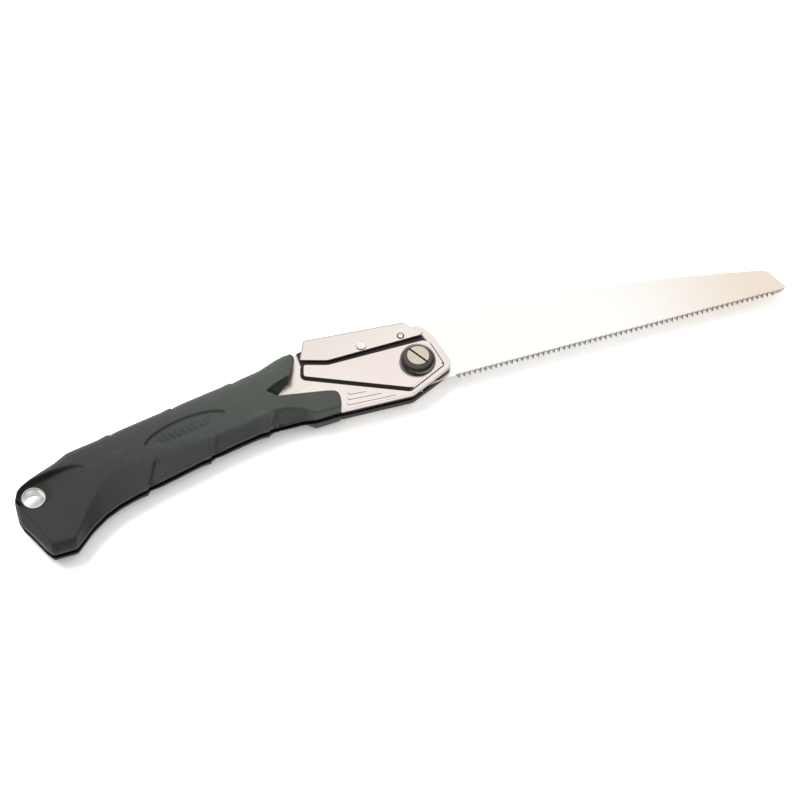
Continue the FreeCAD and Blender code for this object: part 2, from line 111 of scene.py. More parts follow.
class Finish:
    """A material on one glossy or matt shader, with the few nodes that all the finishes share."""

    def __init__(self, name, **constants):
        self.material = bpy.data.materials.new(name)
        self.material.use_nodes = True
        self.tree = self.material.node_tree
        self.shader = self.tree.nodes["Principled BSDF"]
        for socket, value in constants.items():
            self.shader.inputs[socket.replace("_", " ")].default_value = value
        self.place = self.put("ShaderNodeTexCoord", {}, {}, "Object")

    def put(self, kind, settings, values, out=0):
        """Adds a node: its settings first, then the value or link of each socket."""
        node = self.tree.nodes.new(kind)
        for key, value in settings.items():
            setattr(node, key, value)
        for socket, value in values.items():
            if isinstance(value, Level):
                self.tree.links.new(value.socket, node.inputs[socket])
            else:
                node.inputs[socket].default_value = value
        return Level(self, node.outputs[out])

    def feed(self, socket, value):
        """Links a value that changes over the surface to the shader."""
        self.tree.links.new(value.socket, self.shader.inputs[socket])

    def moved(self, scale=(1, 1, 1), turn=(0, 0, 0), place=(0, 0, 0)):
        """Object coordinates from a point in metres, stretched and turned for one pattern."""
        near = self.put("ShaderNodeVectorMath", {"operation": "SUBTRACT"},
                        {0: self.place, 1: tuple(place)})
        return self.put("ShaderNodeMapping", {}, {"Vector": near, "Scale": scale, "Rotation": turn})

    def noise(self, scale, detail=3.0, rough=0.5, where=None):
        """Cloudy grain from 0 to 1; scale is in grains to the metre."""
        return self.put("ShaderNodeTexNoise", {}, {
            "Vector": where or self.place, "Scale": scale, "Detail": detail, "Roughness": rough})

    def ramp(self, level, low, high):
        """0 below low, 1 above high, smooth between them."""
        settings = {"interpolation_type": "SMOOTHSTEP"}
        return self.put("ShaderNodeMapRange", settings, {0: level, 1: low, 2: high})

    def fall(self, level, low, high):
        """1 below low, 0 above high, smooth between them."""
        return self.ramp(level * -1, -high, -low)

    def blend(self, share, first, second):
        """Colour that goes from first to second with share."""
        return self.put("ShaderNodeMix", {"data_type": "RGBA"}, {0: share, 6: first, 7: second}, 2)

    def axes(self, where=None):
        """The three separate coordinates of a point."""
        split = self.put("ShaderNodeSeparateXYZ", {}, {0: where or self.place})
        return [Level(self, out) for out in split.socket.node.outputs]

    def about_pivot(self):
        """The three coordinates in millimetres about the blade pivot."""
        return [level * 1000 - float(1000 * at) for level, at in zip(self.axes(), PIVOT)]

    def bump(self, height, depth, strength=1.0):
        """Small relief; depth is in metres for a height of 1."""
        self.feed("Normal", self.put("ShaderNodeBump", {}, {
            "Height": height, "Distance": depth, "Strength": strength}))


table_finish = Finish("white_table", Roughness=0.9, Specular_IOR_Level=0.2,
                      Emission_Color=(1, 0.998, 0.992, 1), Emission_Strength=0.28)
table_finish.feed("Base Color", table_finish.blend(
    table_finish.noise(3.0, 2.0), (0.86, 0.86, 0.855, 1), (0.89, 0.89, 0.885, 1)))
table = bpy.data.meshes.new("table")
half = FLOOR_SIZE / 2
table.from_pydata([(-half, -half, 0), (half, -half, 0), (half, half, 0), (-half, half, 0)], [],
                  [(0, 1, 2, 3)])
table.materials.append(table_finish.material)
floor = bpy.data.objects.new("floor", table)
bpy.context.scene.collection.objects.link(floor)

TOWARD_LIGHT = (0.08, 0.34, 0.937)
SKY_STOPS = [(0.0, 0.02), (0.34, 0.05), (0.64, 1.0), (1.0, 1.08)]
SKY_TINT = np.array([1.0, 0.99, 0.975])
world = bpy.data.worlds.new("studio")
bpy.context.scene.world = world
world.use_nodes = True
sky = world.node_tree
nearness = sky.nodes.new("ShaderNodeVectorMath")
nearness.operation = "DOT_PRODUCT"
nearness.inputs[1].default_value = TOWARD_LIGHT
shade = sky.nodes.new("ShaderNodeValToRGB")
while len(shade.color_ramp.elements) < len(SKY_STOPS):
    shade.color_ramp.elements.new(0.5)
for stop, (at, grey) in zip(shade.color_ramp.elements, SKY_STOPS):
    stop.position, stop.color = at, (*(grey * SKY_TINT), 1)
sky.links.new(sky.nodes.new("ShaderNodeTexCoord").outputs["Generated"], nearness.inputs[0])
sky.links.new(nearness.outputs["Value"], shade.inputs[0])
sky.links.new(shade.outputs[0], sky.nodes["Background"].inputs[0])

SOFT_LIGHTS = [("softbox", (-0.60, 0.62, 1.05), 1.0, 26.0), ("fill", (0.7, -0.5, 1.5), 1.3, 5.0)]
for name, spot, size, power in SOFT_LIGHTS:
    lamp = bpy.data.lights.new(name, "AREA")
    lamp.size, lamp.energy = size, power
    light = bpy.data.objects.new(name, lamp)
    bpy.context.scene.collection.objects.link(light)
    light.location = spot
    light.visible_glossy = False
    light.rotation_mode = "QUATERNION"
    light.rotation_quaternion = (Vector(spot) - LOOK_AT).to_track_quat("Z", "Y")

# ---- saw blade --------------------------------------------------------------------------
# One plate of hard carbon steel, ground bright, with a round tang that turns on the pivot and
# a notch for the lock pin. The teeth are ground from both faces. The band of teeth is painted
# darker: partly the tint that hardening left, partly painted shade of the ground bevels.
BLADE_HALF = 0.6             # millimetres, as are all the sizes of the pieces
TOOTH_LINE = -13.5
TOOTH_PITCH = 3.1
TOOTH_DEPTH = 3.0
TOOTH_COUNT = 62
LAST_TOOTH_X = 209.1
TOOTH_BEVEL = 0.95
EDGE_BREAK = 0.12
GROUND_DEPTH = 0.5           # the bevels and broken edges reach this far into the plate
BLADE_TIP = [(210.5, -12.0), (211.6, -12.7), (214.0, -12.4), (216.4, -11.5), (218.6, -10.5),
             (218.8, -10.0)]
BLADE_BACK = [(214.3, 1.6), (213.4, 3.0), (211.6, 4.2), (206.6, 5.7), (188.0, 9.6), (160.0, 15.2),
              (130.0, 19.7), (100.0, 22.4), (70.0, 24.8), (40.0, 26.6), (14.0, 27.6), (9.6, 26.0),
              (5.5, 19.4)]
TANG_RADIUS = 16.6
TANG_TURN = 82, 248, 5       # degrees round the pivot: first, past the last, step
NOTCH_AT = np.array([-4.5, 16.75])
NOTCH_RADIUS = 2.45
NOTCH_OPENING = 2.6          # points of the tang nearer than this to the notch are left out
HEEL_STEPS = [(252.0, 16.2), (262.0, 15.7), (262.01, 13.2), (272.0, 13.2), (282.0, 13.2),
              (292.0, 13.2)]  # angle and radius from the tang's round down to the tooth side


def in_frame(points):
    """Millimetres about the blade pivot turned into metres in the frame."""
    return np.asarray(points, float) * 0.001 + PIVOT


def piece(name, points, faces, finish, body, slot, nodes=(), sharp=35.0):
    """Makes one finished piece from points in millimetres about the pivot, riding on a body."""
    mesh = bpy.data.meshes.new(name)
    mesh.from_pydata(in_frame(points).tolist(), [], [list(dict.fromkeys(f)) for f in faces])
    mesh.update()
    mesh.polygons.foreach_set("use_smooth", np.ones(len(mesh.polygons), bool))
    mesh.set_sharp_from_angle(angle=math.radians(sharp))
    mesh.materials.append(finish.material)
    made = bpy.data.objects.new(name, mesh)
    bpy.context.scene.collection.objects.link(made)
    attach(made, body)
    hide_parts(*nodes)
    return made


def outline_inset(outline, inset):
    """Closed plan outline moved inward: each corner goes along the bisector of its two sides,
    by the inset over the cosine of half the turn. The outline runs counter-clockwise."""
    ahead = np.roll(outline, -1, 0) - outline
    ahead /= np.linalg.norm(ahead, axis=1)[:, None]
    behind = np.roll(ahead, 1, 0)
    inward = np.stack([-(ahead + behind)[:, 1], (ahead + behind)[:, 0]], 1)
    inward /= np.maximum(np.linalg.norm(inward, axis=1), 1e-6)[:, None]
    half_turn = np.abs((inward * np.stack([-ahead[:, 1], ahead[:, 0]], 1)).sum(1))
    least = 0.35             # keeps a very sharp corner from running away
    return outline + inward * (np.asarray(inset) / np.clip(half_turn, least, 1.0))[..., None]


def stacked(outline, rows):
    """Solid from one outline: each row is the outline at an inset and a height, the rows are
    joined by quads, and the first and last rows are closed with flat faces."""
    count = len(outline)
    points = np.concatenate([np.column_stack([outline_inset(outline, inset), np.full(count, z)])
                             for inset, z in rows])
    step = np.arange(count)
    ahead = (step + 1) % count
    low = count * np.arange(len(rows) - 1)[:, None]
    faces = np.stack([low + step, low + ahead, low + count + ahead, low + count + step], -1)
    caps = [step[::-1].tolist(), (len(points) - count + step).tolist()]
    return points, faces.reshape(-1, 4).tolist() + caps


def rounded(corners, radius, steps=5):
    """Polygon with each corner replaced by an arc: points at equal shares of the turn on a
    quadratic curve from one side to the next."""
    corners = np.asarray(corners, float)
    sides = np.stack([np.roll(corners, 1, 0) - corners, np.roll(corners, -1, 0) - corners])
    lengths = np.linalg.norm(sides, axis=2)
    most = 0.45 * lengths.min(0)     # two arcs on one short side never meet
    start, end = corners + sides / lengths[..., None] * np.minimum(radius, most)[:, None]
    t = np.linspace(0, 1, steps + 1)[None, :, None]
    arcs = ((1 - t) ** 2 * start[:, None] + 2 * t * (1 - t) * corners[:, None]
            + t ** 2 * end[:, None])
    return arcs.reshape(-1, 2)


def polar(radius, degrees):
    """Plan points at a radius and an angle from the pivot."""
    angle = np.radians(degrees)
    return np.stack([radius * np.cos(angle), radius * np.sin(angle)], 1)


tooth_x = LAST_TOOTH_X - TOOTH_PITCH * np.arange(TOOTH_COUNT - 0.5, -0.5, -0.5)
is_tip = np.arange(len(tooth_x)) % 2 == 1
teeth = np.stack([tooth_x, np.where(is_tip, TOOTH_LINE, TOOTH_LINE + TOOTH_DEPTH)], 1)
tang = polar(TANG_RADIUS, np.arange(*TANG_TURN))
tang = tang[np.linalg.norm(tang - NOTCH_AT, axis=1) > NOTCH_OPENING]
notch = NOTCH_AT + polar(NOTCH_RADIUS, np.linspace(20, -200, 12))
notch = notch[np.linalg.norm(notch, axis=1) < TANG_RADIUS - 0.1]
tang_rear = tang[tang[:, 0] < NOTCH_AT[0]]
tang_front = tang[tang[:, 0] > NOTCH_AT[0]]
heel_angle, heel_radius = np.array(HEEL_STEPS).T
before_teeth = np.concatenate([tang_front, notch, tang_rear, polar(heel_radius, heel_angle)])
blade_outline = np.concatenate([before_teeth, teeth, BLADE_TIP, BLADE_BACK])
bevel = np.full(len(blade_outline), EDGE_BREAK)
bevel[len(before_teeth):len(before_teeth) + len(teeth)][is_tip] = TOOTH_BEVEL
blade_rows = [(bevel, -BLADE_HALF), (0.0, GROUND_DEPTH - BLADE_HALF),
              (0.0, BLADE_HALF - GROUND_DEPTH), (bevel, BLADE_HALF)]

steel = Finish("ground_blade_steel", Metallic=1.0)
along_blade, across_blade, _ = steel.about_pivot()
grind = steel.noise(1.0, 4.0, 0.6, steel.moved((2600, 60, 60), (0, 0, math.radians(4))))
cloud = steel.noise(38.0, 3.0)
smear = steel.noise(9.0, 4.0, 0.6, steel.moved((1, 3, 1)))
# Painted shade with a hardening tint: the band of teeth is painted darker.
tooth_tint_and_shade = steel.fall(across_blade, -11.2, -10.5)
outward = steel.ramp(along_blade, 110.0, 215.0)
bright = steel.blend(cloud, (0.985, 0.98, 0.965, 1), (1.0, 0.998, 0.985, 1))
bright = steel.blend(grind * 0.18, bright, (0.90, 0.87, 0.83, 1))
bright = steel.blend(outward * 0.9, bright, (0.84, 0.73, 0.62, 1))
steel.feed("Base Color", steel.blend(tooth_tint_and_shade * 0.75, bright, (0.34, 0.30, 0.26, 1)))
steel.feed("Roughness", grind * 0.14 + smear * 0.16 + 0.20)
steel.bump(grind, 0.000010, 0.35)
piece("blade_plate", *stacked(blade_outline, blade_rows), steel, "blade", "blade_steel", ["blade"],
      sharp=25.0)

# ---- frame castings ---------------------------------------------------------------------
# Two mirrored castings with a bright nickel finish hold the blade between them. Each has a
# bare stepped head with a raised bevelled panel, and a thin core that runs on inside the grip.
LEDGE_TOP = 4.7
PANEL_TOP = 6.5
CORE_TOP = 3.0
SLOT_HALF = 1.2
HEAD = [(16.4, -7.6), (17.8, -3.6), (14.0, 15.2), (9.7, 23.2), (6.4, 24.6), (3.0, 22.2),
        (-2.0, 22.3), (-58.2, 26.6), (-63.4, 25.0), (-69.0, 11.0), (-86.2, -3.5), (-49.6, -6.9),
        (-49.6, -17.2), (-8.6, -18.5)]
PANEL = [(12.8, -5.2), (10.2, 10.6), (7.4, 12.3), (-47.4, 12.1), (-60.0, 16.1), (-62.2, 9.1),
         (-8.8, -15.3)]
BEVEL_WIDTHS = [1.2, 1.1, 1.1, 1.1, 1.9, 1.8, 1.0]      # on the side that follows each corner
CORNER_STEPS = 6
CORE_SPINE = [(-47.4, 24.6), (-64.8, 23.7), (-74.0, 22.2), (-84.0, 18.7), (-99.2, 15.5),
              (-115.5, 12.8), (-131.9, 10.0), (-148.0, 7.0), (-164.1, 4.1), (-180.0, 1.3),
              (-192.0, -0.2), (-203.0, -4.6), (-210.0, -8.0), (-210.0, -30.0)]
CORE_BELLY = [(-224.6, -31.6), (-221.6, -40.7), (-214.3, -53.2), (-203.0, -52.5), (-190.3, -40.7),
              (-176.2, -34.1), (-159.9, -29.2), (-143.7, -25.3), (-127.4, -21.5), (-110.9, -17.5),
              (-94.6, -14.8), (-81.1, -13.2), (-71.6, -13.2), (-63.2, -15.3), (-47.4, -16.2)]
RIB_BELLY = [(-206.0, -24.4), (-14.5, 12.4), (-14.5, 23.2), (-58.2, 26.0)]
NUT_SEAT_RADIUS = 8.4
NUT_SEAT_TOP = 3.6
NUT_SEAT_ANGLES = [338, 406, 419, 525, 550, 556, 600]   # where each corner meets the round seat
HEAD_LINES = [((-41.9, -8.7), (-33.0, -9.4)), ((-43.3, -11.8), (-25.2, -13.0)),
              ((-44.7, -15.0), (-18.2, -16.4))]
LINE_HALF, TICK_HALF = 0.2, 0.22
TICK_RISE, TICK_LEAN = 1.3, 0.4
INLAY_RISE = 0.012


def gathered(*parts):
    """Several point and face lists as one, each part's faces counted on from the last part."""
    points, faces, count = [], [], 0
    for part_points, part_faces in parts:
        points.append(part_points)
        faces += [[i + count for i in face] for face in part_faces]
        count += len(part_points)
    return np.concatenate(points), faces


def underside(part):
    """The same part for the other half: heights change sign, and faces turn to point outward."""
    points, faces = part
    return points * (1, 1, -1), [face[::-1] for face in faces]


def edge_rows(low, high, round_low, round_high):
    """Rows for a slab's edge: a quarter round at the foot and at the rim, each as three chords
    of a circle, with a straight wall between."""
    quarter = np.radians([0, 30, 60, 90])
    foot = [(round_low * (1 - math.sin(q)), low + round_low * (1 - math.cos(q))) for q in quarter]
    rim = [(round_high * (1 - math.cos(q)), high - round_high * (1 - math.sin(q))) for q in quarter]
    return foot + rim


ledge_shape = stacked(rounded(HEAD, 1.7, CORNER_STEPS), edge_rows(SLOT_HALF, LEDGE_TOP, 0.15, 0.45))
panel_outline = rounded(PANEL, 1.5, CORNER_STEPS)
round_corner = np.linspace(0, 1, CORNER_STEPS + 1)
slope = (np.roll(BEVEL_WIDTHS, 1)[:, None] * (1 - round_corner)
         + np.array(BEVEL_WIDTHS)[:, None] * round_corner).ravel()
panel_rows = [(-slope, LEDGE_TOP - 0.4), (-slope, LEDGE_TOP), (-0.9 * slope, LEDGE_TOP + 0.12),
              (-0.05 * slope, PANEL_TOP - 0.2), (0.03, PANEL_TOP - 0.05), (0.2, PANEL_TOP)]
panel_shape = stacked(panel_outline, panel_rows)
core_shape = stacked(rounded(CORE_SPINE + CORE_BELLY, 1.5, 3), [(0.0, SLOT_HALF), (0.0, CORE_TOP)])
rib_shape = stacked(rounded(CORE_SPINE[2:-1] + RIB_BELLY, 0.6, 3),
                    [(0.0, 0.03), (0.0, SLOT_HALF + 0.2)])


def panel_with_seat():
    """The raised panel round a sunk round seat: the panel's rows, then a flat ring from its rim
    to the seat's circle, where each corner has its own place, then the wall and the floor."""
    points, faces = stacked(panel_outline, panel_rows)
    faces.pop()
    count, first = len(panel_outline), len(points)
    spread = np.linspace(-2.5, 2.5, CORNER_STEPS + 1)
    circle = polar(NUT_SEAT_RADIUS, (np.array(NUT_SEAT_ANGLES)[:, None] + spread).ravel())
    rings = [np.column_stack([circle, np.full(count, z)]) for z in (PANEL_TOP, NUT_SEAT_TOP)]
    points = np.concatenate([points] + rings)
    step, ahead = np.arange(count), (np.arange(count) + 1) % count
    for k in (first - count, first):
        faces += np.stack([k + step, k + ahead, k + count + ahead, k + count + step], 1).tolist()
    faces.append((first + count + step).tolist())
    return points, faces


nickel = Finish("bright_nickel_casting", Metallic=1.0)
head_x, head_y, head_z = nickel.about_pivot()
above = abs(head_z)
cast_grain = nickel.noise(2300.0, 2.0)
cast_cloud = nickel.noise(45.0, 3.0)
cast_rub = nickel.noise(16.0, 5.0, 0.65, nickel.moved((1, 4, 1), (0, 0, 0.3)))
# Painted shade, blended to near black: the core inside the rubber, seen in the slot; the
# panel's sloping wall, except along its lower front, where only a thin painted shadow stays at
# its foot; the ledge under the lever; the faces of the blade slot; and the rim of the lower
# casting, with the lower part of the upper one's rim.
core_shade = nickel.fall(head_x, -64, -50) * nickel.fall(above, CORE_TOP + 0.1, CORE_TOP + 0.35)
corner_x, corner_y = PANEL[-1]
front_low = (head_x - corner_x) * 0.424 - (head_y - corner_y) * 0.906
front_foot = nickel.ramp(above, LEDGE_TOP + 0.45, LEDGE_TOP + 0.6)
on_slope = nickel.ramp(above, LEDGE_TOP + 0.03, LEDGE_TOP + 0.12) * nickel.fall(
    above, PANEL_TOP - 0.2, PANEL_TOP - 0.05)
panel_wall_shade = on_slope * (1 - nickel.ramp(front_low, 0.02, 0.1) * front_foot)
panel_edge = 12.2 + nickel.fall(head_x, -60.0, -47.4) * 3.9
shade_under_lever = nickel.ramp(head_y - panel_edge, 0.0, 0.4) * nickel.fall(
    above, PANEL_TOP - 0.3, PANEL_TOP - 0.05) * nickel.fall(
    head_x + head_y * 0.35, 13.6, 15.2) * nickel.ramp(head_x, -62.2, -61.2)
slot_shade = nickel.fall(above, SLOT_HALF - 0.02, SLOT_HALF + 0.12)
rim_shade = nickel.fall(head_z, 2.3, 2.9) * nickel.ramp(head_z, -4.6, -4.3)
# Painted shade: all the dark places above in one mask.
painted_shade = core_shade | panel_wall_shade | shade_under_lever | slot_shade | rim_shade
# Painted shade: the side walls of the head are painted grey.
side_wall_shade = nickel.fall(above, 4.25, 4.5) * nickel.ramp(head_x, -64.0, -60.0)
nickel_tone_and_shade = nickel.blend(cast_cloud, (0.825, 0.745, 0.705, 1), (0.885, 0.815, 0.78, 1))
nickel_tone_and_shade = nickel.blend(side_wall_shade * 0.6, nickel_tone_and_shade, (0.36, 0.32, 0.30, 1))
nickel.feed("Base Color", nickel.blend(painted_shade, nickel_tone_and_shade, (0.022, 0.019, 0.018, 1)))
nickel.feed("Metallic", 1 - painted_shade * 0.6)
nickel.feed("Roughness", cast_rub * 0.12 + cast_grain * 0.06 + 0.16 + painted_shade * 0.25)
nickel.bump(cast_grain * 0.4 + cast_cloud * 0.6, 0.00002, 0.5)


def engraving():
    """Three ruled strokes with a short tick at the near end. Each is a shallow inlaid bar: a
    rectangle from one end to the other, half its width to each side."""
    parts = []
    for start, end in np.array(HEAD_LINES):
        run = (end - start) / np.linalg.norm(end - start)
        side = np.array([-run[1], run[0]])
        tick = start - 0.1 * side, start + TICK_RISE * side - TICK_LEAN * run
        for (a, b), half_width in (((start, end), LINE_HALF), (tick, TICK_HALF)):
            ahead = (b - a) / np.linalg.norm(b - a)
            beside = half_width * np.array([-ahead[1], ahead[0]])
            parts.append(stacked(np.array([a - beside, b - beside, b + beside, a + beside]),
                                 [(0.0, LEDGE_TOP - 0.3), (0.0, LEDGE_TOP + INLAY_RISE)]))
    return gathered(*parts)


upper_casting = gathered(ledge_shape, panel_shape, core_shape, rib_shape)
lower_casting = underside(gathered(ledge_shape, panel_with_seat(), core_shape, rib_shape))
for side, casting in (("upper", upper_casting), ("lower", lower_casting)):
    piece("casting_" + side, *casting, nickel, "handle", "plated_casting", ["frame_" + side],
          sharp=30.0)

ruled = Finish("engraved_line", Roughness=0.7)
ruled.feed("Base Color", ruled.blend(
    ruled.noise(900.0), (0.06, 0.05, 0.048, 1), (0.13, 0.11, 0.105, 1)))
piece("head_ruled_lines", *engraving(), ruled, "handle", "plated_casting")

# ---- grips ------------------------------------------------------------------------------
# Two mirrored halves of dark grey-green elastomer, moulded over the castings and forked round
# the head. They meet along the spine; along the belly a slot stays open for the folded blade.
SPINE = [(-86.0, 20.6), (-90.7, 19.7), (-99.2, 18.0), (-115.5, 15.4), (-131.9, 12.5),
         (-148.0, 9.7), (-164.1, 6.8), (-180.0, 3.7), (-188.8, 2.2), (-195.6, 0.9), (-203.0, -3.2),
         (-210.4, -6.0), (-217.4, -8.9), (-222.6, -12.0), (-225.4, -14.6), (-227.6, -20.4),
         (-228.1, -24.0)]
BELLY = [(-83.6, -15.7), (-88.0, -16.0), (-94.2, -16.7), (-110.6, -19.7), (-127.1, -23.6),
         (-143.4, -27.6), (-159.6, -31.5), (-175.9, -36.5), (-184.2, -40.2), (-193.1, -46.2),
         (-203.4, -55.5), (-209.5, -55.65), (-215.8, -55.75), (-218.6, -51.8), (-222.8, -42.5),
         (-226.8, -34.6), (-228.1, -29.4)]
CREST = 9.9
CREASE_X = [-228, -217, -205, -203, -198, -185, -170, -152, -140, -118, -99.5, -85.7, -47]
CREASE_SHARE = [0.93, 0.93, 0.95, 0.95, 0.90, 0.69, 0.59, 0.65, 0.70, 0.80, 0.83, 0.78, 0.78]
GROOVES = [((-152.8, -18.6), (-159.9, -31.6)), ((-118.1, -14.6), (-123.3, -24.5)),
           ((-84.8, -10.3), (-89.0, -18.2))]
SPINE_NICKS = [-171.1, -135.7, -100.8]
APEX = (-85.2, 3.9)          # crotch of the fork
APEX_SHARE = 0.42
UPPER_SPINE = [(-86.0, 20.6), (-82.4, 21.7), (-74.4, 25.0), (-69.4, 26.2), (-66.4, 25.7)]
UPPER_RIM = [APEX, (-79.8, 6.8), (-70.2, 10.4), (-65.8, 18.6), (-64.4, 22.6)]
UPPER_FOOT = [(-84.9, 3.7), (-79.4, 3.0), (-70.8, 7.6), (-65.0, 18.4), (-63.8, 22.3)]
LOWER_RIM = [APEX, (-80.2, -1.0), (-64.7, -3.6), (-51.5, -5.7), (-48.8, -6.2)]
LOWER_FOOT = [(-84.9, 3.7), (-79.6, 0.4), (-64.5, -2.6), (-51.3, -4.8), (-48.4, -5.3)]
LOWER_BELLY = [(-83.6, -15.7), (-77.5, -15.7), (-70.3, -15.8), (-63.1, -17.2), (-49.6, -16.6)]
ARC_X = [-84.6, -82.5, -76.6, -67.5, -64.0, -61.5, -47.0]
ARC_Y = [-9.8, -8.6, -9.2, -12.5, -15.8, -18.4, -18.5]   # finger hollow on the lower prong
LIP_HEIGHT = 1.6
WALL = 2.4
HOLE = np.array([-218.0, -20.3])
HOLE_RADIUS = 6.25
PAD_TOP = 3.5
PAD_RADIUS = 9.6
SCOOP_HALF = 10.0
SCOOP_END = np.array([-188.6, -14.7])
LENS_ENDS = np.array([(-155.5, -9.6), (-109.5, -2.2)])
LENS_HALF = 6.3
LENS_DEPTH = 1.2
RIB_RISE, RIB_PITCH, RIB_SLANT = 0.7, 3.3, 0.35
BUTT_FACETS = [((-229.0, -29.0), (-217.3, -56.6), 1.25), ((-216.0, -56.3), (-200.0, -56.2), 1.5)]
ACROSS = 92                  # rows from spine to belly on the body of the grip
BODY_COLUMNS, PRONG_COLUMNS = 330, 64


def path(points, shares, ease=0.0):
    """Points at equal shares of a polyline's length, or at the given shares, its corners eased by
    a running mean over a part of the length."""
    points = np.asarray(points, float)
    lengths = np.concatenate([[0], np.cumsum(np.linalg.norm(np.diff(points, axis=0), axis=1))])
    lengths /= lengths[-1]
    near = np.linspace(-ease, ease, 9)[:, None]
    at = np.clip(np.asarray(shares)[None, :] + near, 0, 1)
    return np.stack([np.interp(at, lengths, points[:, k]).mean(0) for k in (0, 1)], -1)


def smooth_step(value, low, high):
    """0 below low and 1 above high, with a cubic curve between."""
    t = np.clip((value - low) / (high - low), 0, 1)
    return t * t * (3 - 2 * t)


def soft_min(a, b, width):
    """The lower of two heights, rounded where they cross over a given width."""
    gap = np.clip(0.5 + 0.5 * (b - a) / width, 0, 1)
    return b * (1 - gap) + a * gap - width * gap * (1 - gap)


def half_section(share, crease):
    """Height of a grip half across it: up steeply from the spine, flat over the crest, gently
    down to the crease, and steeper down the belly facet to the lip."""
    fold = np.interp(crease, [0.55, 0.95], [9.1, 8.1])
    rise = np.interp(share, [0.0, 0.025, 0.09, 0.2, 0.30, 0.42], [4.1, 6.0, 7.9, 9.4, 9.85, CREST])
    fall = np.clip((share - 0.45) / (crease - 0.45), 0, 1)
    belly = np.clip((share - crease) / (1 - crease), 0, 1)
    return np.where(share < crease, rise - (CREST - fold) * fall ** 1.2,
                    fold - (fold - 3.3) * belly ** 1.1)


def along_line(x, y, start, end):
    """Distances along a line from its start, and square to it, positive on its left."""
    run = np.subtract(end, start)
    run = run / np.linalg.norm(run)
    return ((x - start[0]) * run[0] + (y - start[1]) * run[1],
            (y - start[1]) * run[0] - (x - start[0]) * run[1])


def grooves(x, y):
    """Change of height from the finger steps on the belly: a notch on one side of each line and
    a low ridge on the other, fading in from the line's upper end."""
    change = 0 * x
    for start, end in GROOVES:
        along, left = along_line(x, y, start, end)
        step = np.interp(-left, [-7.0, -0.9, -0.1, 3.6, 9.0], [0.0, -0.95, 0.6, 0.25, 0.0])
        change = change + smooth_step(along, -1.5, 2.5) * step
    return change


def lens(x, y):
    """Change of height from the recess with two pointed ends: its half width falls off with the
    distance from the middle, and slanted ribs stand in it along the middle line."""
    along, left = along_line(x, y, *LENS_ENDS)
    half_length = np.linalg.norm(LENS_ENDS[1] - LENS_ENDS[0]) / 2
    t, w = along / half_length - 1, left / LENS_HALF
    bound = np.clip(1 - np.abs(t) ** 2.2, 0, 1) ** 0.75
    out = -np.where(bound > 0, np.abs(w) / np.maximum(bound, 1e-3), 9.0)
    sink = np.where(w > 0, smooth_step(out, -1.0, -0.86), smooth_step(out, -1.0, -0.6))
    slanted = (t * half_length + RIB_SLANT * w * LENS_HALF) / RIB_PITCH
    ribs = smooth_step(-np.abs((slanted + 40) % 1.0 - 0.5), -0.26, -0.14)
    ribs = ribs * smooth_step(-np.abs(w), -0.42, -0.33)
    ribs = ribs * smooth_step(-np.abs(t + 0.02), -0.66, -0.62)
    return RIB_RISE * ribs - LENS_DEPTH * sink


def scoop(x, y):
    """Height of the flat pad round the lanyard hole and of the long hollow that rises from it
    toward the head, with a steep wall on the spine side and a softer one below."""
    along, left = along_line(x, y, HOLE, SCOOP_END)
    reach = np.linalg.norm(SCOOP_END - HOLE)
    go = np.clip(along / reach, 0, 0.999)
    wide = np.where(left > 0, SCOOP_HALF * np.sqrt(1 - go ** 3.5), PAD_RADIUS * (1 - go))
    beside = np.where(along > 0, np.abs(left) / np.maximum(wide, 0.05),
                      np.hypot(along, left) / PAD_RADIUS)
    beside = np.where(along > reach, 9.0, beside)
    wall = np.where(left > 0, 7.5 * smooth_step(beside, 0.62, 1.12),
                    8.0 * smooth_step(beside, 0.92, 1.05))
    bed = PAD_TOP + 6.0 * smooth_step(along, 6.5, reach + 4.0)
    return bed + wall + np.where(beside > 1.3, 9.0, 0.0)


def relief(x, y, z):
    """The height with everything that is moulded into the surface at its plan position."""
    z = soft_min(z + grooves(x, y) + lens(x, y), scoop(x, y), 0.5)
    for start, end, slope in BUTT_FACETS:
        inward = along_line(x, y, start, end)[1]
        facet = 3.4 + slope * np.maximum(inward, 0) + 12.0 * smooth_step(x, -203, -192)
        z = soft_min(z, facet, 0.4)
    return soft_min(z, 8.5 + 3.0 * smooth_step(x, -212, -196), 0.5)


def eased(z, passes):
    """Rounds creases across the grip by a running mean of neighbouring rows."""
    for _ in range(passes):
        z[:, 1:-1] = 0.25 * z[:, :-2] + 0.5 * z[:, 1:-1] + 0.25 * z[:, 2:]
    return z


def thickened(outer, inner, faces):
    """Closed shell from an outer sheet and an inner one with the same faces: points in the same
    place become one, and every free edge of the sheet gets a wall to its inner twin."""
    _, first, where = np.unique(np.round(outer, 4), axis=0, return_index=True, return_inverse=True)
    where = where.ravel()
    outer, inner, faces = outer[first], inner[first], where[faces]
    size = len(outer)
    sides = np.concatenate([faces[:, [k, (k + 1) % 4]] for k in range(4)])
    there, back_again = sides @ [size, 1], sides @ [1, size]
    free = sides[~np.isin(there, back_again)]
    walls = np.column_stack([free[:, ::-1], free + size])
    shell = np.concatenate([faces, faces[:, ::-1] + size, walls])
    return np.concatenate([outer, inner]), shell.tolist()


def grid_faces(columns, rows, first=0):
    """Quads of a grid whose points run along the rows first."""
    index = first + np.arange(columns * rows).reshape(columns, rows)
    return np.stack([index[:-1, :-1], index[1:, :-1], index[1:, 1:], index[:-1, 1:]], -1)


split_row = int(round(APEX_SHARE * ACROSS))
share_across = np.concatenate([np.linspace(0, APEX_SHARE, split_row + 1),
                               np.linspace(APEX_SHARE, 1, ACROSS - split_row + 1)[1:]])


